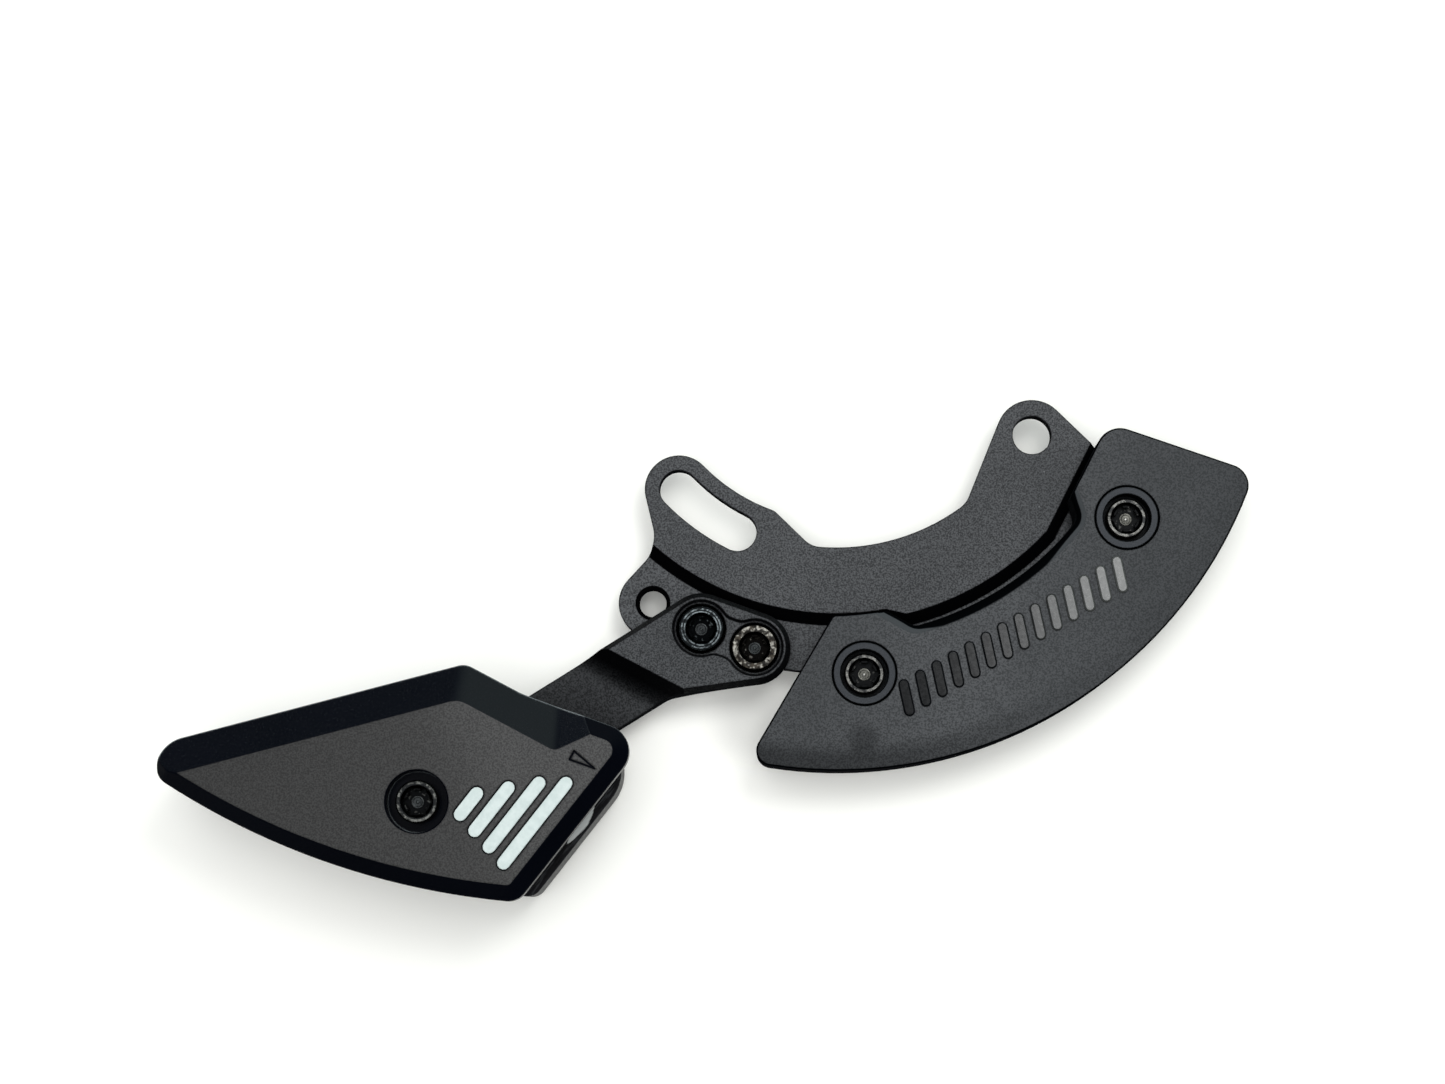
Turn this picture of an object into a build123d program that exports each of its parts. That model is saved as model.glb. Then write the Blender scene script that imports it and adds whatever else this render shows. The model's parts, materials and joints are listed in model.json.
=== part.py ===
from build123d import *

import os
from math import asin, atan2, cos, degrees, hypot, radians, sin

# Bicycle chain guide: a joggled backplate for a two-point frame mount, a bash guard
# and a two-part chain slider on a stepped arm.
# Millimetres. The pieces are laid out round the bottom bracket axis, then moved so that
# the origin is the frame hole's axis on the plate's mounting face. +Z points outboard and
# +X to the front of the bicycle.

# Frame mount and backplate
plate_thickness = 3.0
joggle = 2.0
step_run = 1.85
mount_radius = 36.5
mount_hole_angle = -26.7
mount_hole_diameter = 6.4
mount_lobe_radius = 5.93
slot_rear_angle = -136.0
slot_front_angle = -116.9
slot_width = 6.4
tab_margin = 5.7
tab_end_angle = -109.6
tab_corner_fillet = 2.2
shell_radius = 35.2
web_foot_angle = -97.0
web_foot_fillet = 4.0
front_bend_angle = -52.2
front_bend_fillet = 4.5
waist_shift = 0.42
waist_out = 1.31
waist_fillet_share = 0.31
land_rear_radius = 46.2
land_front_rise = 1.5
land_rear_start_angle = -150.0
land_rear_end_angle = -80.0
land_front_start_angle = -76.0
land_front_end_angle = -43.0
land_edge_angle = 63.0
flange_width = 9.8
flange_lobe_radius = 5.7
land_clearance = 0.35
right_angle = 90.0

# Fasteners
thread_diameter = 5.0
thread_clearance = 0.05
shank_clearance = 0.2
hole_chamfer = 0.35
hole_chamfer_angle = 90.0
bolt_end_margin = 0.5
socket_lobes = 6
socket_core_radius = 1.8
socket_lobe_radius = 0.5
socket_lobe_circle = 1.95
socket_depth = 1.8
socket_mouth_radius = 2.65
socket_mouth_depth = 0.5
socket_mouth_taper = 45.0
head_chamfer = 0.25

# Slider arm
arm_bolt_offset = 7.6
arm_bolt_front_angle = -104.7
arm_bolt_pitch = 10.0
arm_thickness = 4.5
arm_lobe_radius = 5.9
arm_drop = 4.0
arm_step_angle = -117.8
arm_step_offset = 10.1
arm_step_run = 3.4
arm_step_fillet = 5.0
arm_width = 12.5
arm_reach = 53.5
arm_reach_angle = 213.1
arm_edge_angle = 211.9
arm_belly_angle = 187.9
arm_end_margin = 7.0
arm_end_fillet = 5.0
arm_chamfer = 0.75
arm_recess_radius = 4.5
arm_recess_neck = 6.2
arm_recess_depth = 0.7
arm_recess_fillet = 2.5
arm_recess_chamfer = 0.3
arm_head_radius = 3.85
arm_head_height = 2.5
arm_head_sink = 0.2
head_clearance = 0.3

# Bash guard
bash_thickness = 8.5
bash_radius = 72.6
bash_gap = 0.9
bash_left_inner_angle = -90.9
bash_left_outer_angle = -101.8
bash_right_outer_angle = -19.0
bash_top_edge_angle = 160.8
bash_recess_width = 2.7
bash_recess_left_angle = -75.5
bash_recess_right_angle = -38.2
bash_recess_reach = 5.9
bash_recess_fillet = 2.2
bash_recess_round = 2.0
bash_edge_round = 0.35
bash_inner_corner = 1.0
bash_left_corner = 2.5
bash_right_corner = 3.5
bash_top_corner = 4.0
bash_face_thickness = 3.0
bash_rim_wall = 3.2
bash_inner_wall = 2.4
bash_rib_pitch = 8.0
bash_rib_thickness = 1.6
bash_bay_count = 9
bash_bay_start_angle = -94.0
bash_bay_fillet = 1.0
bash_boss_wall = 2.4
bash_bolt_offset = 10.65
bash_bolt_rear_angle = -85.6
bash_bolt_front_angle = -33.2
bushing_flange_radius = 5.15
bushing_flange_thickness = 1.6
bushing_body_radius = 4.7
bushing_clearance = 0.1
bushing_chamfer = 0.15
bushing_bore_radius = 3.9
bash_head_radius = 3.3
bash_head_height = 2.6
bash_head_sink = 0.8

# Chain slider, its outline given from the slider bolt's axis
chain_gap = 9.0
base_floor_thickness = 7.0
base_skin = 2.6
base_wall = 2.4
base_pad_margin = 2.2
base_rib_pitch = 12.0
base_rib_count = 6
base_rib_thickness = 1.8
base_least_core = 10.0
base_skirt = 3.0
base_mouth_grow = 0.85
base_inset = 1.0
cover_thickness = 5.5
cover_edge_chamfer = 2.5
tip_low = (-41.97, 3.95)
tip_high = (-41.97, 9.5)
apex = (7.2, 22.3)
bend = (16.4, 17.4)
nose = (36.4, 10.1)
heel = (16.0, -15.9)
belly = (-15.2, -9.3)
tip_low_fillet = 2.8
tip_high_fillet = 4.7
apex_fillet = 3.0
bend_fillet = 15.0
cover_nose_fillet = 4.3
base_nose_fillet = 8.7
heel_fillet = 3.4
facet_width = 5.7
facet_drop = 4.3
notch_corner = (23.6, 8.8)
notch_edge_angle = 24.5
ridge_fillet = 6.0
notch_fillet = 3.0
rail_rear = (-40.0, 3.2)
rail_top = (-1.3, 6.9)
rail_front = (40.0, -0.6)
rail_setback = 3.5
rail_wall = 2.6
boss_radius = 5.6
channel_clearance = 0.25
pocket_radius = 4.95
pocket_depth = 3.2
pocket_chamfer = 0.2
slider_head_radius = 3.45
slider_head_height = 2.8
nut_flange_radius = 5.5
nut_flange_thickness = 1.5
nut_sleeve_radius = 4.0
nut_sleeve_height = 8.5
nut_clearance = 0.2
nut_slot_width = 1.6
nut_slot_depth = 0.8
arm_slot_travel = 6.0

# Radii and reaches worked out from the sizes above
land_front_radius = land_rear_radius + land_front_rise
flange_radius = land_rear_radius + flange_width
arm_bolt_circle = land_rear_radius + arm_bolt_offset
arm_step_distance = arm_bolt_circle + arm_step_offset
bash_bolt_circle = land_rear_radius + bash_bolt_offset
bash_recess_radius = land_front_radius + bash_recess_width
reach = 2 * bash_radius
beyond = 2 * reach

# Heights worked out from the sizes above
plate_top = plate_thickness
flange_bottom = -joggle
flange_top = plate_thickness - joggle
arm_top = flange_top + arm_thickness
arm_low_top = arm_top - arm_drop
arm_low_bottom = arm_low_top - arm_thickness
bash_top = flange_top + bash_thickness
base_bottom = arm_low_top - base_skirt
base_floor = arm_low_top + base_floor_thickness
parting = base_floor + chain_gap / 2
cover_bottom = base_floor + chain_gap
cover_top = cover_bottom + cover_thickness
shank_radius = thread_diameter / 2
tapped_radius = shank_radius + thread_clearance
through_radius = shank_radius + shank_clearance


def polar(radius, angle):
    """Point at a radius and an angle in degrees round the bottom bracket axis."""
    return Vector(radius * cos(radians(angle)), radius * sin(radians(angle)))


def heading(angle):
    """Unit vector in the plane of the plate."""
    return polar(1.0, angle)


def meet(p, p_angle, q, q_angle):
    """Point where two lines cross, each given by a point and an angle."""
    u = heading(p_angle)
    v = heading(q_angle)
    gap = q - p
    run = (gap.X * v.Y - gap.Y * v.X) / (u.X * v.Y - u.Y * v.X)
    return p + u * run


def tangent_point(point, centre, radius, side):
    """Where a line from a point touches a circle, on its left (1) or right (-1)."""
    gap = centre - point
    turn = degrees(asin(radius / gap.length))
    length = gap.length * cos(radians(turn))
    return point + heading(degrees(atan2(gap.Y, gap.X)) + side * turn) * length


def corner(sketch, point, radius):
    """Round the sketch's corner nearest to a point."""
    fillet(sketch.vertices().sort_by_distance((point.X, point.Y, 0))[0], radius)


# Places on the plate
mount_hole = polar(mount_radius, mount_hole_angle)
slot_rear = polar(mount_radius, slot_rear_angle)
arm_bolt_rear_angle = arm_bolt_front_angle - arm_bolt_pitch
spare_hole_angle = arm_bolt_rear_angle - arm_bolt_pitch
spare_hole = polar(arm_bolt_circle, spare_hole_angle)
arm_bolt_rear = polar(arm_bolt_circle, arm_bolt_rear_angle)
arm_bolt_front = polar(arm_bolt_circle, arm_bolt_front_angle)
bash_bolt_rear = polar(bash_bolt_circle, bash_bolt_rear_angle)
bash_bolt_front = polar(bash_bolt_circle, bash_bolt_front_angle)
slider_axis = arm_bolt_rear + heading(arm_reach_angle) * arm_reach
waist_span = spare_hole - slot_rear
waist_angle = degrees(atan2(waist_span.Y, waist_span.X))
waist_middle = (slot_rear + spare_hole) / 2
waist_foot = waist_middle + heading(waist_angle) * waist_shift
waist_point = waist_foot + heading(waist_angle - right_angle) * waist_out
web_foot = polar(shell_radius, web_foot_angle)
front_bend = polar(shell_radius, front_bend_angle)


def land_edge(offset):
    """The edge of the raised part of the plate, rear to front, moved outward by an offset."""
    rear_size = land_rear_end_angle - land_rear_start_angle
    rear = CenterArc((0, 0), land_rear_radius + offset, land_rear_start_angle, rear_size)
    front_size = land_front_end_angle - land_front_start_angle
    front = CenterArc((0, 0), land_front_radius + offset, land_front_start_angle, front_size)
    Line(rear @ 1, front @ 0)
    Line(front @ 1, front @ 1 + heading(land_edge_angle) * reach)
    return rear @ 0, front @ 1 + heading(land_edge_angle) * reach


def outside_land(offset):
    """Face of everything outboard of the land's edge."""
    with BuildLine() as edge:
        start, end = land_edge(offset)
        Polyline(
            end,
            (beyond, end.Y),
            (beyond, -beyond),
            (-beyond, -beyond),
            (-beyond, start.Y),
            start,
        )
    make_face(edge.edges())


def inside_land(offset):
    """Face of everything on the bottom bracket's side of the land's edge."""
    with BuildLine() as edge:
        start, end = land_edge(offset)
        Polyline(end, (start.X, end.Y), start)
    make_face(edge.edges())


def land_relief():
    """Clear the sloping step of the plate from a piece that sits on the flange beside it."""
    with BuildSketch(Plane.XY.offset(flange_top)) as foot:
        inside_land(step_run + land_clearance)
    with BuildSketch(Plane.XY.offset(plate_top)) as crest:
        inside_land(land_clearance)
    loft([foot.sketch, crest.sketch], ruled=True, mode=Mode.SUBTRACT)


def hexalobe():
    """Six-lobed driver socket."""
    Circle(socket_core_radius)
    with PolarLocations(socket_lobe_circle, socket_lobes):
        Circle(socket_lobe_radius)


def top_face(piece):
    """The highest level face of a piece."""
    return piece.faces().filter_by(Axis.Z).sort_by(Axis.Z)[-1]


def bolt(name, axis, seat, head_radius, head_height, end):
    """Bolt standing on a seat height: a head with a dished socket, its shank down to an end height."""
    with BuildPart() as piece:
        with BuildSketch(Plane((axis.X, axis.Y, seat))):
            Circle(head_radius)
        extrude(amount=head_height)
        chamfer(top_face(piece).edges(), head_chamfer)
        with BuildSketch(Plane((axis.X, axis.Y, seat + head_height))):
            Circle(socket_mouth_radius)
        extrude(amount=-socket_mouth_depth, taper=socket_mouth_taper, mode=Mode.SUBTRACT)
        with BuildSketch(Plane((axis.X, axis.Y, seat + head_height))):
            hexalobe()
        extrude(amount=-socket_depth, mode=Mode.SUBTRACT)
        with BuildSketch(Plane((axis.X, axis.Y, seat))):
            Circle(shank_radius)
        extrude(amount=end - seat)
    finish(piece, name)


def finish(piece, name):
    """Move a finished piece to the frame hole's axis, label it and write it."""
    placed = piece.part.moved(Location((-mount_hole.X, -mount_hole.Y, 0)))
    placed.label = name
    export_step(placed, f"parts/{name}.step")


os.makedirs("parts", exist_ok=True)

# Backplate: one sheet, its outer flange pressed back inboard of the mounting area
with BuildPart() as backplate:
    with BuildSketch(Plane.XY.offset(flange_bottom)) as plan:
        ring_size = bash_bolt_front_angle - spare_hole_angle
        with BuildLine():
            outer = CenterArc((0, 0), flange_radius, spare_hole_angle, ring_size)
            inner = CenterArc((0, 0), shell_radius, spare_hole_angle, ring_size)
            Line(outer @ 0, inner @ 0)
            Line(outer @ 1, inner @ 1)
        make_face()
        with BuildLine():
            tab_size = tab_end_angle - slot_rear_angle
            tab_edge = CenterArc((0, 0), mount_radius - tab_margin, slot_rear_angle, tab_size)
            Polyline(
                tab_edge @ 1,
                web_foot,
                polar(land_rear_radius, web_foot_angle),
                spare_hole,
                tangent_point(waist_point, spare_hole, flange_lobe_radius, -1),
                waist_point,
                tangent_point(waist_point, slot_rear, tab_margin, 1),
                slot_rear,
                tab_edge @ 0,
            )
        make_face()
        with Locations((slot_rear.X, slot_rear.Y)):
            Circle(tab_margin)
        arm_seat_size = arm_bolt_front_angle - spare_hole_angle
        bolt_line = CenterArc((0, 0), arm_bolt_circle, spare_hole_angle, arm_seat_size, mode=Mode.PRIVATE)
        SlotArc(bolt_line, 2 * flange_lobe_radius)
        with BuildLine():
            Polyline(
                tangent_point(front_bend, mount_hole, mount_lobe_radius, 1),
                front_bend,
                bash_bolt_front,
                mount_hole,
                close=True,
            )
        make_face()
        front_span = bash_bolt_front - mount_hole
        front_middle = (mount_hole + bash_bolt_front) / 2
        with Locations((front_middle.X, front_middle.Y)):
            front_angle = degrees(atan2(front_span.Y, front_span.X))
            SlotCenterToCenter(front_span.length, 2 * mount_lobe_radius, rotation=front_angle)
        with Locations((bash_bolt_rear.X, bash_bolt_rear.Y)):
            Circle(mount_lobe_radius)
        corner(plan, waist_point, waist_span.length * waist_fillet_share)
        corner(plan, front_bend, front_bend_fillet)
        corner(plan, tab_edge @ 1, tab_corner_fillet)
        corner(plan, web_foot, web_foot_fillet)
        with Locations((mount_hole.X, mount_hole.Y)):
            Circle(mount_hole_diameter / 2, mode=Mode.SUBTRACT)
        slot_size = slot_front_angle - slot_rear_angle
        slot_line = CenterArc((0, 0), mount_radius, slot_rear_angle, slot_size, mode=Mode.PRIVATE)
        SlotArc(slot_line, slot_width, mode=Mode.SUBTRACT)
    extrude(amount=joggle + plate_thickness)
    with BuildSketch(Plane.XY.offset(plate_top)):
        outside_land(0)
    with BuildSketch(Plane.XY.offset(flange_top)):
        outside_land(step_run)
    loft(ruled=True, mode=Mode.SUBTRACT)
    back_lean = plate_thickness * step_run / (joggle + hypot(joggle, step_run))
    with BuildSketch(Plane.XY.offset(flange_bottom)):
        inside_land(step_run - back_lean)
    with BuildSketch(Plane.XY):
        inside_land(-back_lean)
    loft(ruled=True, mode=Mode.SUBTRACT)
    for hole in (spare_hole, arm_bolt_rear, arm_bolt_front, bash_bolt_rear, bash_bolt_front):
        with Locations((hole.X, hole.Y, flange_top)):
            mouth_radius = tapped_radius + hole_chamfer
            CounterSinkHole(tapped_radius, mouth_radius, counter_sink_angle=hole_chamfer_angle)
finish(backplate, "backplate")

# Slider arm: flat at the bolts, then stepped down inboard towards the slider
arm_along = heading(arm_edge_angle)
arm_inward = heading(arm_edge_angle + right_angle)
arm_edge_start = arm_bolt_rear - arm_inward * arm_lobe_radius
arm_length = (slider_axis - arm_edge_start).dot(arm_along) + arm_end_margin
arm_corner = arm_edge_start + arm_along * arm_length
arm_far_corner = arm_corner + arm_inward * arm_width
arm_belly_start = arm_bolt_front + heading(arm_belly_angle + right_angle) * arm_lobe_radius
arm_elbow = meet(arm_far_corner, arm_edge_angle, arm_belly_start, arm_belly_angle)
arm_bolt_span = arm_bolt_front - arm_bolt_rear
arm_bolt_heading = degrees(atan2(arm_bolt_span.Y, arm_bolt_span.X))
arm_bolt_middle = (arm_bolt_front + arm_bolt_rear) / 2


def arm_outline(grow, mode=Mode.ADD):
    """Plan of the arm, grown by a clearance."""
    with BuildLine() as edge:
        Polyline(
            arm_edge_start - arm_inward * grow,
            arm_corner - arm_inward * grow,
            arm_far_corner + arm_inward * grow,
            arm_elbow + arm_inward * grow,
            arm_belly_start,
            arm_bolt_front,
            arm_bolt_rear,
            close=True,
        )
    make_face(edge.edges(), mode=mode)
    lobe_height = 2 * (arm_lobe_radius + grow)
    with Locations((arm_bolt_middle.X, arm_bolt_middle.Y)):
        SlotCenterToCenter(arm_bolt_span.length, lobe_height, rotation=arm_bolt_heading, mode=mode)


with BuildPart() as slider_arm:
    with BuildSketch(Plane.XY.offset(arm_low_bottom)) as arm_plan:
        arm_outline(0)
        corner(arm_plan, arm_corner, arm_end_fillet)
        corner(arm_plan, arm_far_corner, arm_end_fillet)
        corner(arm_plan, arm_elbow, arm_end_fillet)
    extrude(amount=arm_top - arm_low_bottom)
    step_heading = heading(arm_step_angle)
    side = Plane((0, 0, 0), x_dir=step_heading, z_dir=step_heading.cross(Vector(0, 0, 1)))
    lean = arm_thickness * arm_step_run / (arm_drop + hypot(arm_drop, arm_step_run))
    with BuildSketch(side) as arm_profile:
        step_top = Vector(arm_step_distance, arm_top)
        step_foot = Vector(arm_step_distance + arm_step_run, arm_low_top)
        back_top = Vector(arm_step_distance - lean, flange_top)
        back_foot = Vector(arm_step_distance + arm_step_run - lean, arm_low_bottom)
        with BuildLine():
            Polyline(
                (0, arm_top),
                step_top,
                step_foot,
                (reach, arm_low_top),
                (reach, arm_low_bottom),
                back_foot,
                back_top,
                (0, flange_top),
                close=True,
            )
        make_face()
        corner(arm_profile, step_foot, arm_step_fillet)
        corner(arm_profile, back_top, arm_step_fillet)
    extrude(amount=reach, both=True, mode=Mode.INTERSECT)
    step_middle = step_heading * arm_step_distance + Vector(0, 0, arm_top)
    rim = top_face(slider_arm).edges().sort_by_distance(step_middle)
    chamfer(rim[1:], arm_chamfer)
    with BuildSketch(Plane.XY.offset(arm_top)) as recess:
        with Locations((arm_bolt_rear.X, arm_bolt_rear.Y), (arm_bolt_front.X, arm_bolt_front.Y)):
            Circle(arm_recess_radius)
        with Locations((arm_bolt_middle.X, arm_bolt_middle.Y)):
            Rectangle(arm_bolt_span.length, arm_recess_neck, rotation=arm_bolt_heading)
        fillet(recess.vertices(), arm_recess_fillet)
    extrude(amount=-arm_recess_depth, mode=Mode.SUBTRACT)
    chamfer(top_face(slider_arm).inner_wires()[0].edges(), arm_recess_chamfer)
    with Locations(
        (arm_bolt_rear.X, arm_bolt_rear.Y, arm_top),
        (arm_bolt_front.X, arm_bolt_front.Y, arm_top),
    ):
        head_pocket = arm_head_height + arm_head_sink
        CounterBoreHole(through_radius, arm_head_radius + head_clearance, head_pocket)
    land_relief()
    with BuildSketch(Plane.XY.offset(arm_low_bottom)):
        with Locations((slider_axis.X, slider_axis.Y)):
            slot_height = 2 * (nut_sleeve_radius + nut_clearance)
            SlotCenterToCenter(arm_slot_travel, slot_height, rotation=arm_edge_angle)
    extrude(amount=arm_thickness, mode=Mode.SUBTRACT)
finish(slider_arm, "slider_arm")

arm_seat = arm_top - arm_head_sink - arm_head_height
plate_bolt_end = flange_bottom + bolt_end_margin
for name, place in (("rear", arm_bolt_rear), ("front", arm_bolt_front)):
    bolt(f"arm_bolt_{name}", place, arm_seat, arm_head_radius, arm_head_height, plate_bolt_end)

# Bash guard: a thick moulded sector that sits on the flange outside the land
bash_inner_radius = land_rear_radius + bash_gap
land_front_end = polar(land_front_radius, land_front_end_angle)
bash_edge_origin = land_front_end + heading(land_edge_angle - right_angle) * bash_gap
bash_recess_end = bash_edge_origin + heading(land_edge_angle) * bash_recess_reach
bash_right_tip = polar(bash_radius, bash_right_outer_angle)
bash_top_tip = meet(bash_edge_origin, land_edge_angle, bash_right_tip, bash_top_edge_angle)
bash_left_tip = polar(bash_radius, bash_left_outer_angle)
with BuildPart() as bash_guard:
    with BuildSketch(Plane.XY.offset(flange_top)) as bash_plan:
        with BuildLine():
            lip_size = land_rear_end_angle - bash_left_inner_angle
            lip = CenterArc((0, 0), bash_inner_radius, bash_left_inner_angle, lip_size)
            recess_size = bash_recess_right_angle - bash_recess_left_angle
            hollow = CenterArc((0, 0), bash_recess_radius, bash_recess_left_angle, recess_size)
            Line(lip @ 1, hollow @ 0)
            Polyline(hollow @ 1, bash_recess_end, bash_top_tip, bash_right_tip)
            skid_size = bash_left_outer_angle - bash_right_outer_angle
            CenterArc((0, 0), bash_radius, bash_right_outer_angle, skid_size)
            Line(bash_left_tip, lip @ 0)
        make_face()
        for place, size in (
            (lip @ 0, bash_inner_corner),
            (hollow @ 0, bash_recess_fillet),
            (hollow @ 1, bash_recess_fillet),
            (bash_top_tip, bash_top_corner),
            (bash_right_tip, bash_right_corner),
            (bash_left_tip, bash_left_corner),
        ):
            corner(bash_plan, place, size)
    extrude(amount=bash_thickness)
    hollow_middle = polar(bash_recess_radius, (bash_recess_left_angle + bash_recess_right_angle) / 2)
    hollow_edge = bash_guard.edges().sort_by_distance((hollow_middle.X, hollow_middle.Y, bash_top))[0]
    fillet(hollow_edge, bash_recess_round)
    skid_middle = polar(bash_radius, (bash_left_outer_angle + bash_right_outer_angle) / 2)
    skid_edge = bash_guard.edges().sort_by_distance((skid_middle.X, skid_middle.Y, bash_top))[0]
    fillet(skid_edge, bash_edge_round)
    land_relief()
    with Locations(
        (bash_bolt_rear.X, bash_bolt_rear.Y, bash_top),
        (bash_bolt_front.X, bash_bolt_front.Y, bash_top),
    ):
        bushing_hole = bushing_body_radius + bushing_clearance
        bushing_rim = bushing_flange_radius + bushing_clearance
        CounterBoreHole(bushing_hole, bushing_rim, bushing_flange_thickness)
    for mouth in top_face(bash_guard).inner_wires():
        chamfer(mouth.edges(), bushing_chamfer)
    bay_inner = flange_radius + bash_inner_wall
    bay_outer = bash_radius - bash_rim_wall
    rib_half_angle = degrees(bash_rib_thickness / (bay_inner + bay_outer))
    bay_size = bash_rib_pitch - 2 * rib_half_angle
    with BuildSketch(Plane.XY.offset(flange_top)) as bays:
        for bay in range(bash_bay_count):
            bay_start = bash_bay_start_angle + bay * bash_rib_pitch + rib_half_angle
            with BuildLine():
                inner_side = CenterArc((0, 0), bay_inner, bay_start, bay_size)
                outer_side = CenterArc((0, 0), bay_outer, bay_start, bay_size)
                Line(inner_side @ 0, outer_side @ 0)
                Line(inner_side @ 1, outer_side @ 1)
            make_face()
        fillet(bays.vertices(), bash_bay_fillet)
        with Locations((bash_bolt_rear.X, bash_bolt_rear.Y), (bash_bolt_front.X, bash_bolt_front.Y)):
            Circle(bushing_hole + bash_boss_wall, mode=Mode.SUBTRACT)
    extrude(amount=bash_thickness - bash_face_thickness, mode=Mode.SUBTRACT)
finish(bash_guard, "bash_guard")

bash_seat = bash_top - bash_head_sink - bash_head_height
for name, place in (("rear", bash_bolt_rear), ("front", bash_bolt_front)):
    with BuildPart() as bushing:
        with BuildSketch(Plane((place.X, place.Y, flange_top))):
            Circle(bushing_body_radius)
        extrude(amount=bash_thickness)
        with BuildSketch(Plane((place.X, place.Y, bash_top))):
            Circle(bushing_flange_radius)
        extrude(amount=-bushing_flange_thickness)
        with Locations((place.X, place.Y, bash_top)):
            CounterBoreHole(through_radius, bushing_bore_radius, bash_top - bash_seat)
        chamfer(top_face(bushing).edges(), bushing_chamfer)
    finish(bushing, f"bash_bushing_{name}")
    bolt(f"bash_bolt_{name}", place, bash_seat, bash_head_radius, bash_head_height, plate_bolt_end)


def from_axis(point):
    """Point of the slider given from its bolt's axis."""
    return slider_axis + Vector(*point)


# Chain slider: two moulded halves that meet below the chain's path
mouth_angle = degrees(atan2(nose[1] - heel[1], nose[0] - heel[0]))


def slider_shape(grow):
    """Plan of a slider half with sharp corners, its mouth edge moved outward by grow."""
    shift = Vector(grow / sin(radians(mouth_angle)), 0)
    low = from_axis(tip_low)
    front = from_axis(nose) + shift
    back = from_axis(heel) + shift
    with BuildLine() as edge:
        Polyline(low, from_axis(tip_high), from_axis(apex), from_axis(bend), front, back)
        ThreePointArc(back, from_axis(belly), low)
    make_face(edge.edges())


def round_corners(sketch, nose_fillet, inset):
    """Round every corner of a slider half's plan, tighter where the plan is set in."""
    for place, size in (
        (tip_low, tip_low_fillet),
        (tip_high, tip_high_fillet),
        (apex, apex_fillet),
        (bend, bend_fillet),
        (nose, nose_fillet),
        (heel, heel_fillet),
    ):
        corner(sketch, from_axis(place), size - inset)


def cover_outline(sketch):
    """Plan of the cover half."""
    slider_shape(0)
    round_corners(sketch, cover_nose_fillet, 0)


def base_outline(sketch):
    """Plan of the base half: set in all round, but longer at the mouth."""
    slider_shape(base_mouth_grow + base_inset)
    offset(amount=-base_inset, kind=Kind.INTERSECTION, mode=Mode.REPLACE)
    round_corners(sketch, base_nose_fillet, base_inset)


def path_region(mode):
    """Everything outside the rail: the chain's path above it and the space at the mouth."""
    rear = from_axis(rail_rear)
    front = from_axis(rail_front)
    with BuildLine() as path:
        ThreePointArc(rear, from_axis(rail_top), front)
        Polyline(
            front,
            front + Vector(reach, 0),
            front + Vector(reach, reach),
            rear + Vector(-reach, reach),
            rear + Vector(-reach, 0),
            rear,
        )
    make_face(path.edges(), mode=mode)
    along = heading(mouth_angle) * reach
    outward = heading(mouth_angle - right_angle)
    middle = from_axis(nose) - outward * rail_setback
    with BuildLine() as gate:
        Polyline(
            middle + along,
            middle - along,
            middle - along + outward * reach,
            middle + along + outward * reach,
            close=True,
        )
    make_face(gate.edges(), mode=mode)


def open_path(outline, height, amount):
    """Cut the chain's path from a slider half, leaving a rail wall and the bolt's boss."""
    with BuildSketch(Plane.XY.offset(height)) as path_plan:
        path_region(Mode.ADD)
    extrude(path_plan.sketch, amount=amount, mode=Mode.SUBTRACT)
    with BuildSketch(Plane.XY.offset(height)) as hollow_plan:
        outline(hollow_plan)
        path_region(Mode.SUBTRACT)
        offset(amount=-rail_wall, kind=Kind.INTERSECTION, mode=Mode.REPLACE)
        with Locations((slider_axis.X, slider_axis.Y)):
            Circle(boss_radius, mode=Mode.SUBTRACT)
    extrude(hollow_plan.sketch, amount=amount, mode=Mode.SUBTRACT)


def edge_angle(start, end):
    """Heading from one corner to the next."""
    return degrees(atan2(end.Y - start.Y, end.X - start.X))


def facet_plane(start, end):
    """Sloping plane that falls from the cover's top face to an edge between two corners."""
    along = edge_angle(start, end)
    outward = heading(along + right_angle)
    origin = start - outward * facet_width + Vector(0, 0, cover_top)
    fall = outward * facet_width - Vector(0, 0, facet_drop)
    return Plane(origin, x_dir=heading(along), z_dir=heading(along).cross(fall))


def falling_edge(piece, place):
    """The edge that falls from a corner of a piece's top face."""
    falling = piece.edges() - top_face(piece).edges()
    return falling.sort_by_distance(place)[0]


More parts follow.
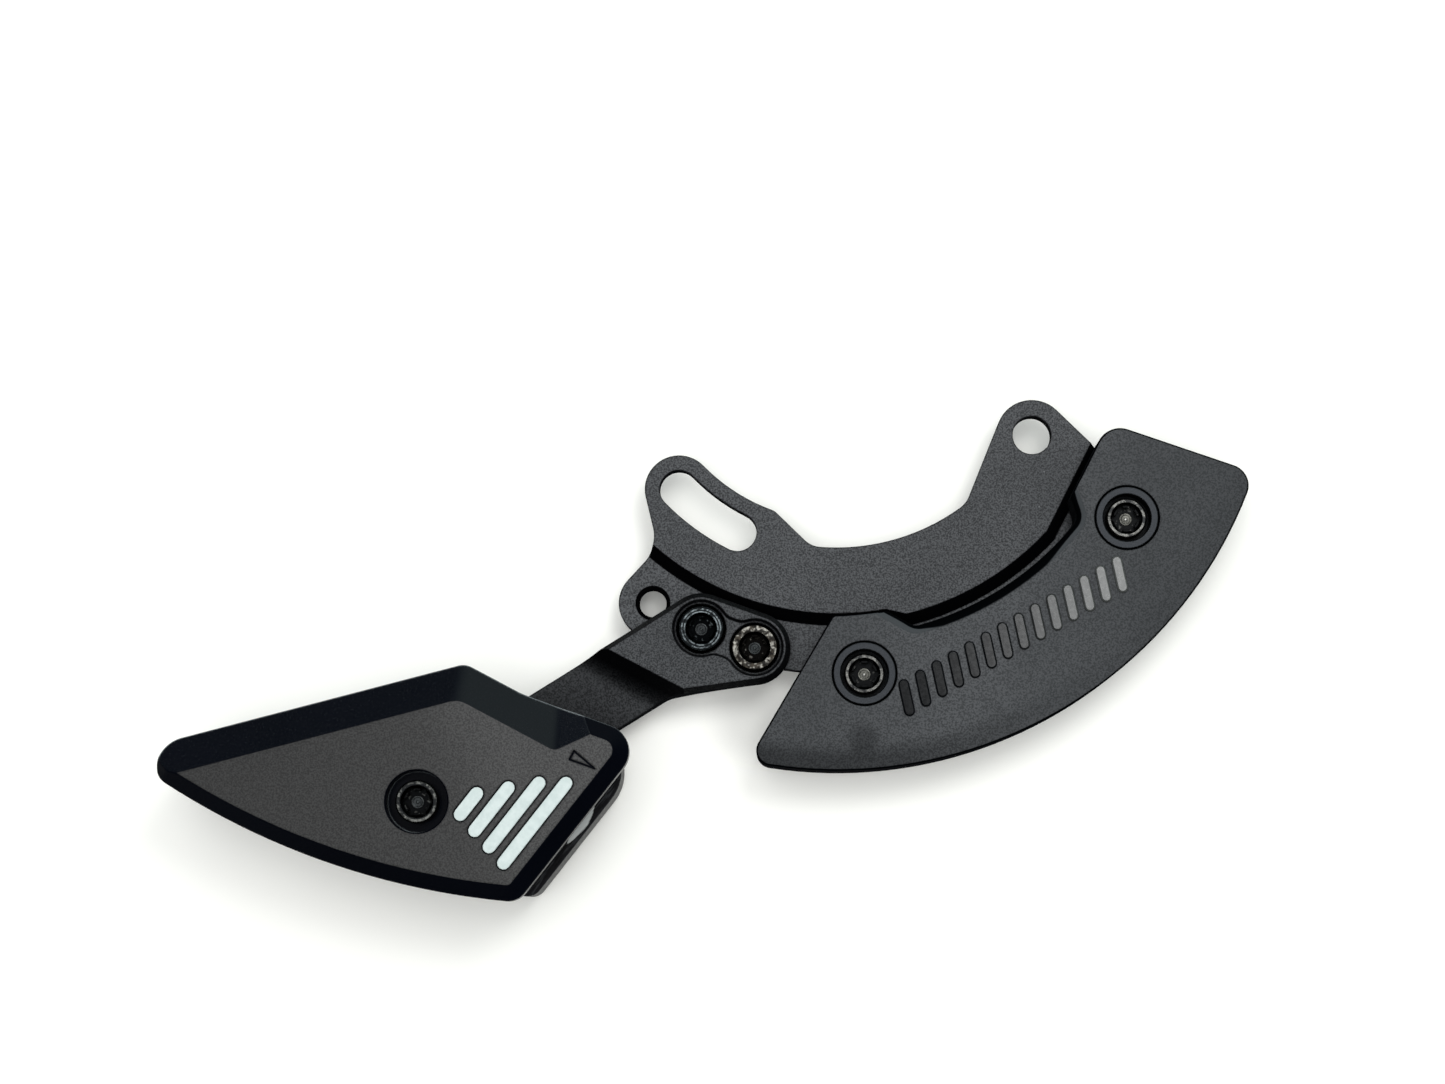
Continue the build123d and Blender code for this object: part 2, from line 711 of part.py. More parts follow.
with BuildPart() as slider_cover:
    with BuildSketch(Plane.XY.offset(parting)) as cover_plan:
        cover_outline(cover_plan)
    extrude(amount=cover_top - parting)
    chamfer(top_face(slider_cover).edges(), cover_edge_chamfer)
    back_facet = facet_plane(from_axis(tip_high), from_axis(apex))
    split(bisect_by=back_facet, keep=Keep.BOTTOM)
    front_facet = facet_plane(from_axis(apex), from_axis(bend))
    notch_heading = heading(notch_edge_angle)
    notch_fall = heading(notch_edge_angle + right_angle) * facet_width - Vector(0, 0, facet_drop)
    notch_origin = from_axis(notch_corner) + Vector(0, 0, cover_top)
    notch_facet = Plane(notch_origin, x_dir=notch_heading, z_dir=notch_heading.cross(notch_fall))
    with BuildSketch(front_facet):
        Rectangle(reach, reach)
    wedge = extrude(amount=reach, mode=Mode.PRIVATE)
    add(split(wedge, bisect_by=notch_facet, keep=Keep.TOP, mode=Mode.PRIVATE), mode=Mode.SUBTRACT)
    back_angle = edge_angle(from_axis(tip_high), from_axis(apex))
    front_angle = edge_angle(from_axis(apex), from_axis(bend))
    ridge_top = meet(back_facet.origin, back_angle, front_facet.origin, front_angle)
    fillet(falling_edge(slider_cover, ridge_top), ridge_fillet)
    notch_top = meet(front_facet.origin, front_angle, notch_origin, notch_edge_angle)
    fillet(falling_edge(slider_cover, notch_top), notch_fillet)
    open_path(cover_outline, parting, cover_bottom - parting)
    with Locations((slider_axis.X, slider_axis.Y, cover_top)):
        CounterBoreHole(through_radius, pocket_radius, pocket_depth)
    chamfer(top_face(slider_cover).inner_wires()[0].edges(), pocket_chamfer)
finish(slider_cover, "slider_cover")

with BuildPart() as slider_base:
    with BuildSketch(Plane.XY.offset(base_bottom)) as base_plan:
        base_outline(base_plan)
    extrude(amount=parting - base_bottom)
    open_path(base_outline, parting, base_floor - parting)
    with BuildSketch(Plane.XY.offset(base_bottom)):
        arm_outline(channel_clearance)
    extrude(amount=base_skirt, mode=Mode.SUBTRACT)
    with BuildSketch(Plane.XY.offset(base_bottom), mode=Mode.PRIVATE) as cores:
        slider_shape(base_mouth_grow + base_inset)
        offset(amount=-base_inset - base_wall, kind=Kind.INTERSECTION, mode=Mode.REPLACE)
        arm_outline(channel_clearance + base_pad_margin, Mode.SUBTRACT)
        with Locations((slider_axis.X, slider_axis.Y)):
            with GridLocations(base_rib_pitch, 0, base_rib_count, 1):
                Rectangle(base_rib_thickness, reach, mode=Mode.SUBTRACT)
    for core in cores.sketch.faces():
        if core.area > base_least_core:
            extrude(core, amount=base_floor - base_skin - base_bottom, mode=Mode.SUBTRACT)
    with Locations((slider_axis.X, slider_axis.Y, parting)):
        Hole(through_radius)
    with BuildSketch(Plane.XY.offset(base_bottom)):
        with Locations((slider_axis.X, slider_axis.Y)):
            Circle(nut_sleeve_radius + nut_clearance)
    extrude(amount=arm_low_bottom + nut_sleeve_height + nut_clearance - base_bottom, mode=Mode.SUBTRACT)
finish(slider_base, "slider_base")

slider_seat = cover_top - pocket_depth
bolt("slider_bolt", slider_axis, slider_seat, slider_head_radius, slider_head_height, arm_low_bottom)

with BuildPart() as slider_nut:
    nut_bottom = arm_low_bottom - nut_flange_thickness
    with BuildSketch(Plane((slider_axis.X, slider_axis.Y, nut_bottom))):
        Circle(nut_flange_radius)
    extrude(amount=nut_flange_thickness)
    with BuildSketch(Plane((slider_axis.X, slider_axis.Y, arm_low_bottom))):
        Circle(nut_sleeve_radius)
    extrude(amount=nut_sleeve_height)
    with Locations((slider_axis.X, slider_axis.Y, arm_low_bottom)):
        Hole(tapped_radius)
    with BuildSketch(Plane((slider_axis.X, slider_axis.Y, nut_bottom))):
        Rectangle(2 * nut_flange_radius, nut_slot_width, rotation=arm_edge_angle)
    extrude(amount=nut_slot_depth, mode=Mode.SUBTRACT)
finish(slider_nut, "slider_nut")
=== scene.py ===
import json
from math import atan2, cos, degrees, pi, radians, sin

import bmesh
import bpy
from mathutils import Matrix, Vector


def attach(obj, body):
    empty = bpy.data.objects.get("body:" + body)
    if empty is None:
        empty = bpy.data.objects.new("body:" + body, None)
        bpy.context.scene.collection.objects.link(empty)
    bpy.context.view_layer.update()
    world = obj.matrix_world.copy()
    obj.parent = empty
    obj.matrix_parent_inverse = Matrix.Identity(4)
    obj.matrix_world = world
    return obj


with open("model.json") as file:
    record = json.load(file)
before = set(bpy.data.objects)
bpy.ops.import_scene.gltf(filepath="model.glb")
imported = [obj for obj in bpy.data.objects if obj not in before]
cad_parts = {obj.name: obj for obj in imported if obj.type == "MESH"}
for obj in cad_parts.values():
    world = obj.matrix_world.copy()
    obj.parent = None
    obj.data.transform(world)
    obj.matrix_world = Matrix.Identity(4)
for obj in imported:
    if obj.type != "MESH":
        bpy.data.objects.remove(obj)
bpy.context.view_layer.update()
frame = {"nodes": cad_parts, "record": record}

MM = 0.001


def heading(angle):
    """Unit vector in plan at an angle in degrees."""
    return Vector((cos(radians(angle)), sin(radians(angle))))


def polar(radius, angle):
    """Point round the bottom bracket axis, in millimetres of the row frame."""
    return BB + heading(angle) * radius


# Places in plan, in millimetres of the row frame, laid out round the bottom bracket axis as in part.py
MOUNT_RADIUS = 36.5
MOUNT_HOLE_ANGLE = -26.7
MOUNT_SLOT_ANGLE = -126.45
BB = heading(MOUNT_HOLE_ANGLE) * -MOUNT_RADIUS
FRAME_SLOT = polar(MOUNT_RADIUS, MOUNT_SLOT_ANGLE)
ARM_BOLT_RADIUS = 53.8
ARM_BOLT_FRONT_ANGLE = -104.7
ARM_BOLT_PITCH = 10.0
ARM_BOLTS = {
    "rear": polar(ARM_BOLT_RADIUS, ARM_BOLT_FRONT_ANGLE - ARM_BOLT_PITCH),
    "front": polar(ARM_BOLT_RADIUS, ARM_BOLT_FRONT_ANGLE),
}
SPARE_HOLE = polar(ARM_BOLT_RADIUS, ARM_BOLT_FRONT_ANGLE - 2 * ARM_BOLT_PITCH)
SPARE_HOLE_RADIUS = 2.55
SPARE_THREAD_LOW = -2.0
SPARE_THREAD_HIGH = 0.65
SPARE_THREAD_PITCH = 0.8
BASH_BOLT_RADIUS = 56.85
BASH_BOLTS = {"rear": polar(BASH_BOLT_RADIUS, -85.6), "front": polar(BASH_BOLT_RADIUS, -33.2)}
SLIDER = BB + Vector((-67.30, -78.10))
SLIDER_HEEL = SLIDER + Vector((16.0, -15.9))
MOUTH_HEADING = 52.1
COVER_POCKET_RADIUS = 5.05
COVER_NOTCH_X = -77.35

# Heights, and the driver sockets of the bolts
ARM_TOP = 5.5
BASH_TOP = 9.5
BASE_FLOOR = 8.5
COVER_TOP = 23.0
TABLE = -4.55
TABLE_SIZE = 900.0
TABLE_MIDDLE = Vector((-30.0, -50.0))
ARM_HEAD_TOP = ARM_TOP - 0.2
BASH_HEAD_TOP = BASH_TOP - 0.8
SLIDER_HEAD_TOP = COVER_TOP - 0.4
SOCKET_DEPTH = 1.8
SOCKET_DARK_RADIUS = 2.58

# Marks that the photograph shows: painted highlights at the ends of the guard's recess, tones of the guard,
# a pale patch in the slider's mouth, painted shade on the table under the arm
RECESS_FRONT_END = Vector((6.5, -15.5))
RECESS_REAR_END = Vector((-24.0, -32.6))
GUARD_DARK_SPOT = Vector((-28.5, -51.0))
GUARD_BAND_START = 67.4
GUARD_BAND_FULL = 71.0
PALE_PATCH_START = Vector((-72.2, -61.4))
PALE_PATCH_END = Vector((-76.9, -68.1))
PALE_PATCH_HALF_WIDTH = 1.0
ARM_SHADE = Vector((-47.0, -47.5))

# Plain ribs on the guard, and bars and arrow on the slider cover
RIB_START = BB + Vector((11.2, -60.7))
RIB_END = BB + Vector((46.2, -40.5))
RIB_COUNT = 14
RIB_SLANT = 72.0
RIB_LENGTH = 6.2
RIB_WIDTH = 1.8
RIB_HEIGHT = 0.4
RIB_CHAMFER = 0.25
BAR_WIDTH = 2.1
BAR_RIM = 0.16
BAR_DEPTH = 0.3
BAR_BELOW_TOP = 0.05
BAR_CHAMFER = 0.07
BAR_PITCH = 3.4
BAR_FIRST_OFFSET = 5.4
BAR_FIRST_START = 3.6
BAR_START_STEP = 0.6
BAR_ENDS = (19.6, 17.0, 13.4, 9.6)
ARROW = [SLIDER + Vector(place) for place in ((25.05, 8.0), (24.35, 6.65), (28.32, 5.22))]
ARROW_LINE = 0.3
ARROW_DEPTH = 0.25
SEAT = 0.05
CUT_ABOVE = 1.0
CRISP_ANGLE = 12.0


# Node helpers
def srgb(r, g, b):
    """Colour given in 0 to 255 display values, as a linear colour."""
    out = []
    for c in (r, g, b):
        c = c / 255.0
        out.append(c / 12.92 if c <= 0.04045 else ((c + 0.055) / 1.055) ** 2.4)
    return (*out, 1.0)


def shade_of(colour, factor):
    """The same hue, darker or paler."""
    return [c * factor for c in colour[:3]] + [1.0]


class Tree:
    """Short hand for building a node tree."""

    def __init__(self, tree):
        self.tree = tree
        tree.nodes.clear()

    def add(self, kind, inputs=None, **props):
        n = self.tree.nodes.new(kind)
        for key, value in props.items():
            setattr(n, key, value)
        for key, value in (inputs or {}).items():
            self.put(n.inputs[key], value)
        return n

    def put(self, socket, value):
        if isinstance(value, bpy.types.NodeSocket):
            self.tree.links.new(value, socket)
        else:
            socket.default_value = value

    def math(self, op, a, b=0.0, clamp=False):
        return self.add("ShaderNodeMath", {0: a, 1: b}, operation=op, use_clamp=clamp).outputs[0]

    def times(self, *values):
        """Product of numbers and sockets."""
        total = values[0]
        for value in values[1:]:
            total = self.math("MULTIPLY", total, value)
        return total

    def vec(self, op, a, b=(0, 0, 0)):
        n = self.add("ShaderNodeVectorMath", {0: a, 1: b}, operation=op)
        return n.outputs["Value"] if op in ("DOT_PRODUCT", "DISTANCE") else n.outputs[0]

    def part(self, vector, axis):
        """One component of a vector."""
        return self.add("ShaderNodeSeparateXYZ", {0: vector}).outputs["XYZ".index(axis)]

    def ramp(self, value, low, high, to_low=0.0, to_high=1.0):
        """Smooth step from one value to another."""
        n = self.add("ShaderNodeMapRange", {"Value": value}, clamp=True, interpolation_type="SMOOTHSTEP")
        n.inputs["From Min"].default_value = low
        n.inputs["From Max"].default_value = high
        n.inputs["To Min"].default_value = to_low
        n.inputs["To Max"].default_value = to_high
        return n.outputs[0]

    def ramp_mm(self, value, low, high, to_low=0.0, to_high=1.0):
        """Smooth step over a length that is given in millimetres."""
        return self.ramp(value, low * MM, high * MM, to_low, to_high)

    def mix(self, factor, a, b):
        n = self.add("ShaderNodeMix", data_type="RGBA")
        self.put(n.inputs[0], factor)
        self.put(n.inputs[6], a)
        self.put(n.inputs[7], b)
        return n.outputs[2]

    def noise(self, where, scale, detail=2.0, rough=0.5, distortion=0.0):
        n = self.add("ShaderNodeTexNoise", {"Vector": where, "Scale": scale, "Detail": detail})
        n.inputs["Roughness"].default_value = rough
        n.inputs["Distortion"].default_value = distortion
        return n.outputs[0]


class Surface(Tree):
    """A Principled material with the row's coordinates, softened edges and an edge mask."""

    def __init__(self, name, edge_mm, **values):
        self.mat = bpy.data.materials.new(name)
        self.mat.use_nodes = True
        super().__init__(self.mat.node_tree)
        out = self.add("ShaderNodeOutputMaterial")
        self.bsdf = self.add("ShaderNodeBsdfPrincipled")
        self.tree.links.new(self.bsdf.outputs[0], out.inputs[0])
        for key, value in values.items():
            self.bsdf.inputs[key.replace("_", " ")].default_value = value
        self.where = self.add("ShaderNodeTexCoord").outputs["Object"]
        self.normal = self.add("ShaderNodeNewGeometry").outputs["Normal"]
        self.soft = self.add("ShaderNodeBevel", {"Radius": edge_mm * MM}, samples=6).outputs[0]
        turned = self.vec("DOT_PRODUCT", self.soft, self.normal)
        self.edge = self.math("SUBTRACT", 1.0, turned, clamp=True)

    def colour(self, value):
        self.put(self.bsdf.inputs["Base Color"], value)

    def rough(self, value):
        self.put(self.bsdf.inputs["Roughness"], value)

    def specular(self, value):
        self.put(self.bsdf.inputs["Specular IOR Level"], value)

    def bump(self, height, strength, distance_mm):
        n = self.add("ShaderNodeBump", {"Height": height, "Normal": self.soft})
        n.inputs["Strength"].default_value = strength
        n.inputs["Distance"].default_value = distance_mm * MM
        self.put(self.bsdf.inputs["Normal"], n.outputs[0])

    def away(self, *spots):
        """Distance in plan, in metres, from the nearest of some spots given in millimetres."""
        plan = self.vec("MULTIPLY", self.where, (1, 1, 0))
        best = None
        for spot in spots:
            distance = self.vec("DISTANCE", plan, Vector((*spot, 0)) * MM)
            best = distance if best is None else self.math("MINIMUM", best, distance)
        return best

    def lens(self, a, b, half_mm):
        """Distance in metres outside a lens drawn from a to b in plan, negative inside it."""
        start = Vector((*a, 0)) * MM
        run = Vector((*(b - a), 0)) * MM
        rel = self.vec("SUBTRACT", self.vec("MULTIPLY", self.where, (1, 1, 0)), start)
        along = self.vec("DOT_PRODUCT", rel, run / run.length_squared)
        across = self.vec("DOT_PRODUCT", rel, Vector((-run.y, run.x, 0)).normalized())
        swell = self.times(along, self.math("SUBTRACT", 1.0, along), 4.0 * half_mm * MM)
        return self.math("SUBTRACT", self.math("ABSOLUTE", across), swell)

    def wall(self, facing, slope, upright):
        """Painted shade on the faces that are not level: sloping ones painted darkest, upright ones a dull
        black.
        """
        grain = self.noise(self.where, 900.0, 3.0, 0.6)
        dull = self.mix(self.ramp(grain, 0.3, 0.7), shade_of(upright, 0.6), upright)
        return self.mix(self.ramp(self.math("ABSOLUTE", facing), 0.12, 0.4), dull, slope)

    def crevice(self, reach_mm):
        """1 in the open, falling to 0 in gaps and inner corners; used to paint shade there."""
        node = self.add("ShaderNodeAmbientOcclusion", {"Distance": reach_mm * MM}, samples=6)
        return self.ramp(node.outputs["AO"], 0.35, 0.8)


# Materials
COOL_SHEEN = (0.92, 0.96, 1.0, 1.0)


def finish_metal(name, base, spec, slope, reach, low_painted_shade=1.0):
    """Black anodised sheet: blasted grain, faint clouding, dust, and edges rubbed paler in places; painted
    shade on faces that are not level, rounded edges, gaps and low parts, and a painted sheen along its
    length.
    """
    s = Surface(name, edge_mm=0.36, Specular_Tint=COOL_SHEEN)
    grain = s.noise(s.where, 3600.0, 3.0, 0.65)
    cloud = s.noise(s.where, 70.0, 3.0, 0.55)
    mottle = s.noise(s.where, 1100.0, 2.0, 0.6)
    facing = s.part(s.normal, "Z")
    # Painted shade: faces that are not level, rounded edges, gaps and, on the arm, its low parts lose sheen
    # and take the dark wall colours
    level = s.times(
        s.ramp(s.math("ABSOLUTE", facing), *slope),
        s.ramp(s.edge, 0.0, 0.12, 1.0, 0.08),
        s.crevice(reach),
        s.ramp_mm(s.part(s.where, "Z"), ARM_TOP - 4.0, ARM_TOP - 1.0, low_painted_shade, 1.0),
    )
    # Painted sheen, uneven along the length: stronger towards negative x
    along = s.ramp_mm(s.part(s.where, "X"), -65.0, 0.0, 1.1, 0.93)
    s.specular(s.times(s.ramp(level, 0.0, 1.0, 0.0, spec), along, s.ramp(grain, 0.4, 0.6, 0.5, 1.5)))
    pale = shade_of(base, 1.6)
    colour = s.mix(s.ramp(grain, 0.3, 0.7), shade_of(base, 0.4), pale)
    colour = s.mix(s.ramp(cloud, 0.35, 0.75, 0.0, 0.35), colour, pale)
    speck = s.add("ShaderNodeTexVoronoi", {"Vector": s.where, "Scale": 420.0}).outputs["Distance"]
    chance = s.ramp(s.noise(s.where, 160.0, 2.0), 0.56, 0.62)
    dust = s.times(s.ramp(speck, 0.035, 0.07, 1.0, 0.0), chance, 0.5)
    colour = s.mix(dust, colour, srgb(150, 152, 154))
    wear = s.times(s.ramp(s.edge, 0.05, 0.16), s.ramp(mottle, 0.56, 0.7), 0.12)
    colour = s.mix(wear, colour, srgb(120, 122, 126))
    s.colour(s.mix(level, s.wall(facing, srgb(4, 4, 5), srgb(31, 32, 34)), colour))
    s.rough(s.math("ADD", s.ramp(grain, 0.3, 0.7, 0.36, 0.48), s.ramp(cloud, 0.3, 0.7, -0.03, 0.04)))
    s.bump(s.math("ADD", grain, s.times(mottle, 0.6)), 0.45, 0.04)
    return s.mat


def guard_nylon():
    """Moulded guard: fine matte grain, slight flow marks, rubbed edges, a darker outer band and a darker
    spot, painted shade on walls, edges and gaps, painted highlights at the ends of the recess, and a painted
    sheen along its length.
    """
    s = Surface("guard_nylon", edge_mm=0.35, Specular_Tint=COOL_SHEEN)
    grain = s.noise(s.where, 3400.0, 3.0, 0.6)
    cloud = s.noise(s.where, 45.0, 3.0, 0.5, 0.3)
    facing = s.part(s.normal, "Z")
    upright = s.math("ABSOLUTE", facing)
    level_range = (0.94, 0.998)
    level = s.ramp(upright, *level_range)
    # Painted highlight: near the ends of the recess its round lip is painted paler, where it catches more
    # light
    front_end = s.ramp_mm(s.away(RECESS_FRONT_END), 2.0, 9.0, 0.16, 0.0)
    rear_end = s.ramp_mm(s.away(RECESS_REAR_END), 1.0, 9.0, 0.3, 0.0)
    lip_highlight = s.ramp(s.math("ADD", upright, s.math("MAXIMUM", front_end, rear_end)), *level_range)
    lip_highlight = s.times(s.math("SUBTRACT", lip_highlight, level, clamp=True), s.ramp(facing, 0.4, 0.6))
    # Painted shade: gaps and rounded edges lose sheen and take the dark wall colours
    level = s.times(level, s.crevice(0.5), s.ramp(s.edge, 0.0, 0.12, 1.0, 0.1))
    length = s.part(s.where, "X")
    band = s.ramp_mm(s.away(BB), GUARD_BAND_START, GUARD_BAND_FULL)
    band = s.times(band, s.ramp_mm(length, -30.0, 14.0, 0.54, 0.1))
    dark_spot = s.math("ADD", s.away(GUARD_DARK_SPOT), s.times(s.math("SUBTRACT", cloud, 0.5), 3.0 * MM))
    # Painted sheen, uneven along the length and less towards both ends; less sheen again in the outer band
    # and at the dark spot
    s.specular(s.times(
        s.ramp(level, 0.0, 1.0, 0.0, 0.53),
        s.ramp_mm(length, 0.0, 18.0, 1.06, 0.88),
        s.ramp_mm(length, -42.0, -18.0, 0.86, 1.0),
        s.math("SUBTRACT", 1.0, band),
        s.ramp_mm(dark_spot, 0.6, 3.6, 0.55, 1.0),
        s.ramp(grain, 0.4, 0.6, 0.6, 1.4),
    ))
    colour = s.mix(s.ramp(grain, 0.3, 0.7), srgb(11, 12, 13), srgb(21, 22, 23))
    colour = s.mix(s.ramp(cloud, 0.35, 0.7, 0.0, 0.6), colour, srgb(27, 29, 30))
    scuff_grain = s.noise(s.vec("MULTIPLY", s.where, (1.0, 3.2, 1.0)), 420.0, 3.0, 0.7)
    scuff = s.times(s.ramp(scuff_grain, 0.66, 0.75), s.ramp(cloud, 0.5, 0.62), 0.18)
    colour = s.mix(scuff, colour, srgb(110, 112, 112))
    wear = s.times(s.ramp(s.edge, 0.03, 0.2), s.ramp(grain, 0.52, 0.68), 0.1)
    colour = s.mix(wear, colour, srgb(95, 97, 98))
    colour = s.mix(level, s.wall(facing, srgb(3, 4, 5), srgb(29, 30, 32)), colour)
    s.colour(s.mix(lip_highlight, colour, srgb(66, 69, 71)))
    s.rough(s.math("ADD", s.ramp(grain, 0.3, 0.7, 0.5, 0.62), s.ramp(cloud, 0.3, 0.7, -0.03, 0.04)))
    s.bump(s.math("ADD", grain, s.times(cloud, 0.5)), 0.35, 0.035)
    return s.mat


def slider_cover_plastic():
    """Slider cover: spark-grained top and smoother facets; facets, sides, pocket and recesses painted darker
    as painted shade, painted highlights on edges below the top, and a painted sheen on the top and facets.
    """
    s = Surface("slider_plastic", edge_mm=0.45)
    grain = s.noise(s.where, 3400.0, 4.0, 0.7)
    cloud = s.noise(s.where, 55.0, 3.0, 0.5)
    facing = s.part(s.normal, "Z")
    height = s.part(s.where, "Z")
    length = s.part(s.where, "X")
    level = s.ramp(facing, 0.965, 0.992)
    outside_pocket = s.ramp_mm(s.away(SLIDER), COVER_POCKET_RADIUS - 0.1, COVER_POCKET_RADIUS + 0.1)
    on_top = s.ramp_mm(height, COVER_TOP - 0.15, COVER_TOP - 0.02)
    flat = s.times(level, outside_pocket, on_top)
    sunk = s.times(level, s.math("SUBTRACT", 1.0, on_top))
    facet = s.times(s.ramp(facing, 0.73, 0.78), outside_pocket, s.math("SUBTRACT", 1.0, sunk))
    # Painted sheen: the top is given more shine towards its front end, and the facets most in the notch
    slant = s.vec("DOT_PRODUCT", s.vec("SUBTRACT", s.where, Vector((*SLIDER, 0)) * MM), (0.9, 0.44, 0.0))
    shine = s.ramp_mm(length, -140.0, -70.0, 0.072, 0.155)
    shine = s.math("ADD", shine, s.ramp_mm(slant, 3.0, 16.0, 0.0, 0.115))
    in_notch = s.ramp_mm(length, COVER_NOTCH_X - 0.35, COVER_NOTCH_X + 0.35)
    notch = s.times(in_notch, s.math("SUBTRACT", facet, flat, clamp=True), 0.3)
    gloss = s.math("ADD", s.ramp(facet, 0.0, 1.0, 0.02, 0.22), s.times(flat, shine))
    sparkle = s.times(flat, s.math("SUBTRACT", grain, 0.5))
    s.specular(s.times(s.math("ADD", gloss, notch), s.ramp(sparkle, -0.1, 0.1, 0.68, 1.32)))
    top = s.mix(s.ramp(grain, 0.3, 0.7), srgb(9, 9, 9), srgb(19, 19, 18))
    top = s.mix(s.ramp(cloud, 0.4, 0.7, 0.0, 0.4), top, srgb(21, 21, 20))
    # Painted shade: faces off the top, the pocket and recessed faces take the dark blue-black wall colours
    side = s.mix(s.ramp(cloud, 0.3, 0.7), srgb(3, 5, 11), srgb(5, 7, 14))
    colour = s.mix(flat, s.wall(facing, side, srgb(27, 28, 31)), top)
    # Painted highlights: edges below the top are painted pale, paler still where they face the top of the
    # picture
    below = s.ramp_mm(height, COVER_TOP - 2.0, COVER_TOP - 2.6)
    colour = s.mix(s.times(s.ramp(s.edge, 0.03, 0.2), below, 0.8), colour, srgb(84, 89, 91))
    upper_side = s.ramp(s.part(s.soft, "Y"), 0.2, 0.6)
    well_below = s.ramp_mm(height, COVER_TOP - 2.2, COVER_TOP - 2.8)
    rim = s.times(s.ramp(s.edge, 0.004, 0.025), upper_side, well_below)
    s.colour(s.mix(rim, colour, srgb(122, 129, 132)))
    s.rough(s.math("ADD", s.ramp(flat, 0.0, 1.0, 0.24, 0.48), s.ramp(grain, 0.3, 0.7, -0.04, 0.04)))
    s.bump(s.times(grain, s.ramp(flat, 0.0, 1.0, 0.15, 1.0)), 0.4, 0.05)
    return s.mat


def slider_base_plastic():
    """Slider base: smooth black moulding, with streaks, edges painted paler as a painted highlight, and a
    pale lens-shaped patch with a dark outline at the mouth.
    """
    s = Surface("slider_base_plastic", edge_mm=0.3, Specular_IOR_Level=0.07)
    grain = s.noise(s.where, 1800.0, 3.0, 0.6)
    cloud = s.noise(s.where, 60.0, 3.0, 0.5)
    colour = s.mix(s.ramp(cloud, 0.3, 0.7), srgb(12, 12, 15), srgb(20, 20, 24))
    off_floor = s.math("ABSOLUTE", s.math("SUBTRACT", s.part(s.where, "Z"), BASE_FLOOR * MM))
    floor = s.math("LESS_THAN", off_floor, 0.2 * MM)
    along = s.vec("DOT_PRODUCT", s.where, Vector((*heading(MOUTH_HEADING), 0)))
    across = s.vec("DOT_PRODUCT", s.where, Vector((*heading(MOUTH_HEADING + 90), 0)))
    drawn = s.add("ShaderNodeCombineXYZ", {0: s.times(along, 0.25), 1: s.times(across, 2.4)}).outputs[0]
    streak = s.noise(drawn, 900.0, 3.0, 0.7)
    colour = s.mix(s.times(s.ramp(streak, 0.52, 0.66), floor, 0.55), colour, srgb(66, 68, 71))
    colour = s.mix(s.times(s.ramp(streak, 0.46, 0.38), floor), colour, srgb(2, 2, 3))
    # Painted highlight: edges painted paler
    wear_and_highlight = s.times(s.ramp(s.edge, 0.05, 0.14), s.ramp(grain, 0.35, 0.6, 0.4, 1.0), 0.5)
    colour = s.mix(wear_and_highlight, colour, srgb(112, 115, 116))
    pale_patch = s.lens(PALE_PATCH_START, PALE_PATCH_END, PALE_PATCH_HALF_WIDTH)
    pale_patch = s.math("ADD", pale_patch, s.times(s.math("SUBTRACT", streak, 0.5), 0.9 * MM))
    colour = s.mix(s.times(s.ramp_mm(pale_patch, 0.05, 0.3, 1.0, 0.0), floor), colour, srgb(6, 6, 7))
    s.colour(s.mix(s.times(s.ramp_mm(pale_patch, -0.2, 0.0, 1.0, 0.0), floor, 0.95), colour, srgb(206, 209, 207)))
    s.rough(s.ramp(grain, 0.3, 0.7, 0.36, 0.48))
    s.bump(grain, 0.25, 0.03)
    return s.mat


